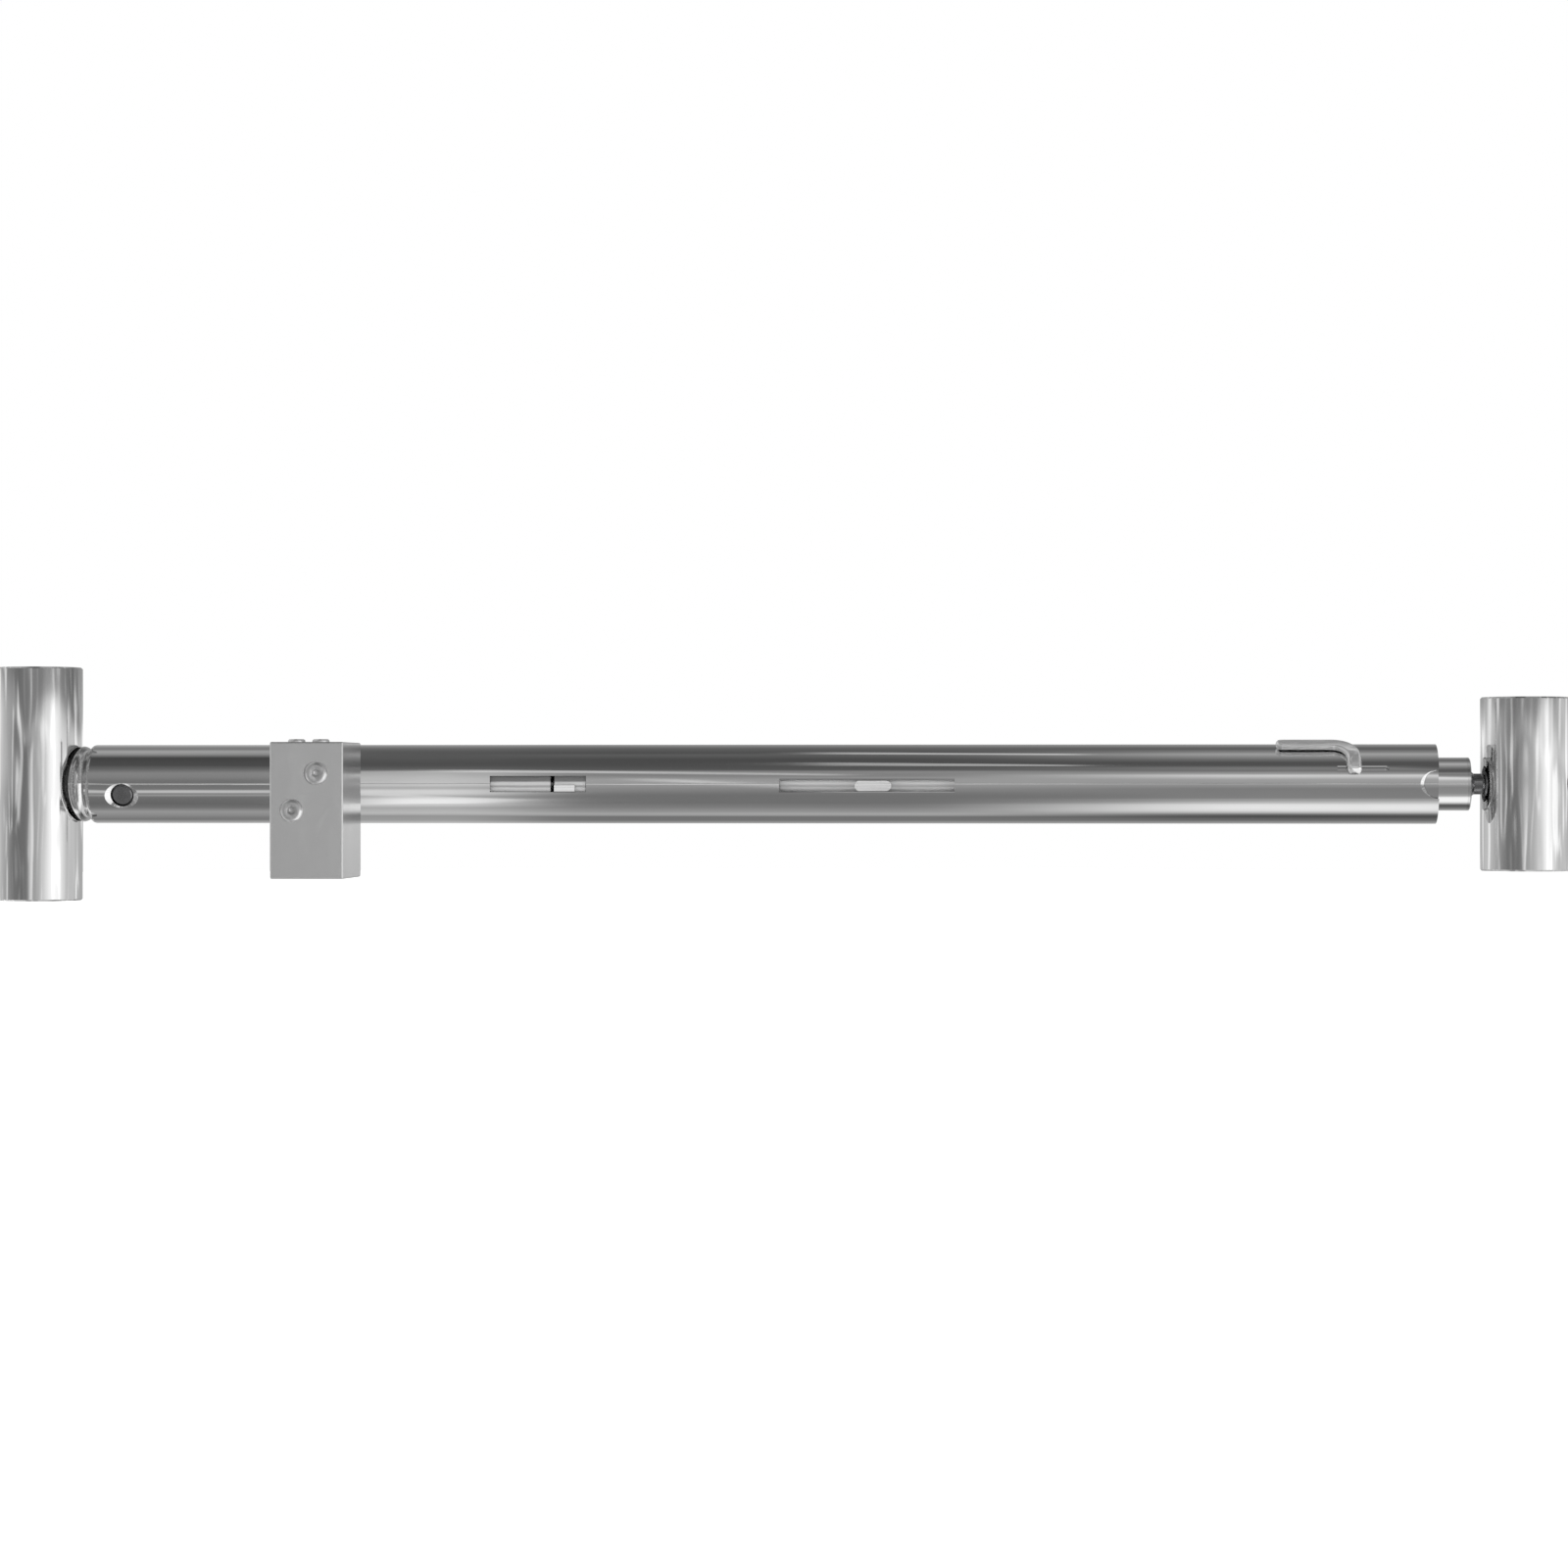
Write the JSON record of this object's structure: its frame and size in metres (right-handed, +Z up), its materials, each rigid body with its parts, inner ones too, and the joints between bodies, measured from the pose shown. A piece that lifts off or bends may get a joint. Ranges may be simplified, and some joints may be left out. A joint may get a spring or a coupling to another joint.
{
  "type": "window security bar",
  "caption": "Telescopic tube bar with two upright foot tubes, a sprung plunger, a ball-jointed foot, a finger hook and a bolted stop block.",
  "frame": {"origin": "centre of the left foot tube's bore, on the bar's axis", "axes": "+X along the bar from the left foot to the right foot, +Z up along the left foot's bore, -Y towards the front, where the stop block stands"},
  "size_m": [0.7659, 0.0883, 0.114],
  "materials": {
    "bar_steel": "mirror polished",
    "foot_steel": "mirror polished",
    "inner_steel": "polished",
    "bright_steel": "polished",
    "dark_steel": "satin",
    "fastener_steel": "satin",
    "spring_steel": "drawn wire",
    "block_aluminium": "fine blasted",
    "black_plastic": "moulded",
    "black_rubber": "matt"
  },
  "bodies": {
    "bar": {"main_tube": "bar_steel", "left_foot_tube": "foot_steel", "left_foot_screw": "fastener_steel", "left_access_plug": "black_plastic", "saddle_gasket": "black_rubber", "left_spigot": "bar_steel", "stop_block": "block_aluminium", "block_bolts": "fastener_steel", "block_lock_screws": "fastener_steel", "bolt_anchor": "block_aluminium", "rod_bush_left": "black_plastic", "rod_bush_right": "black_plastic", "end_bush": "bar_steel", "end_bush_screw": "fastener_steel", "button_spring": "spring_steel"},
    "button": {"snap_button": "dark_steel"},
    "adjuster": {"adjuster_rod": "inner_steel", "adjuster_slug": "inner_steel", "adjuster_key": "bright_steel", "main_spring": "spring_steel"},
    "plunger": {"plunger_tube": "inner_steel", "plunger_guide": "black_plastic", "travel_key": "bright_steel", "finger_hook": "bright_steel", "hook_shoe": "inner_steel", "hook_rivet": "fastener_steel", "socket_plug": "block_aluminium", "socket_cap": "inner_steel"},
    "swivel": {"ball_seat": "black_plastic"},
    "right_foot": {"ball_stud": "dark_steel", "right_foot_tube": "foot_steel", "right_foot_screw": "fastener_steel", "right_access_plug": "black_plastic"}
  },
  "joints": [
    {"name": "button_press", "type": "slide", "parent": "bar", "child": "button", "axis": [0, 0.95, 0.3123], "range_m": [0, 0.003], "stiffness_N_per_m": 400, "deforming": ["button_spring"]},
    {"name": "adjuster_slide", "type": "slide", "parent": "bar", "child": "adjuster", "axis": [1, 0, 0], "range_m": [-0.03, 0.005], "deforming": ["main_spring"]},
    {"name": "plunger_slide", "type": "slide", "parent": "bar", "child": "plunger", "axis": [1, 0, 0], "range_m": [-0.004, 0.012], "stiffness_N_per_m": 1500, "deforming": ["main_spring"]},
    {"name": "foot_twist", "type": "hinge", "parent": "plunger", "child": "swivel", "pos_m": [0.686, 0, 0], "axis": [1, 0, 0], "continuous": true},
    {"name": "foot_tilt", "type": "hinge", "parent": "swivel", "child": "right_foot", "pos_m": [0.686, 0, 0], "axis": [0, 1, 0], "range_deg": [-8, 8]}
  ]
}
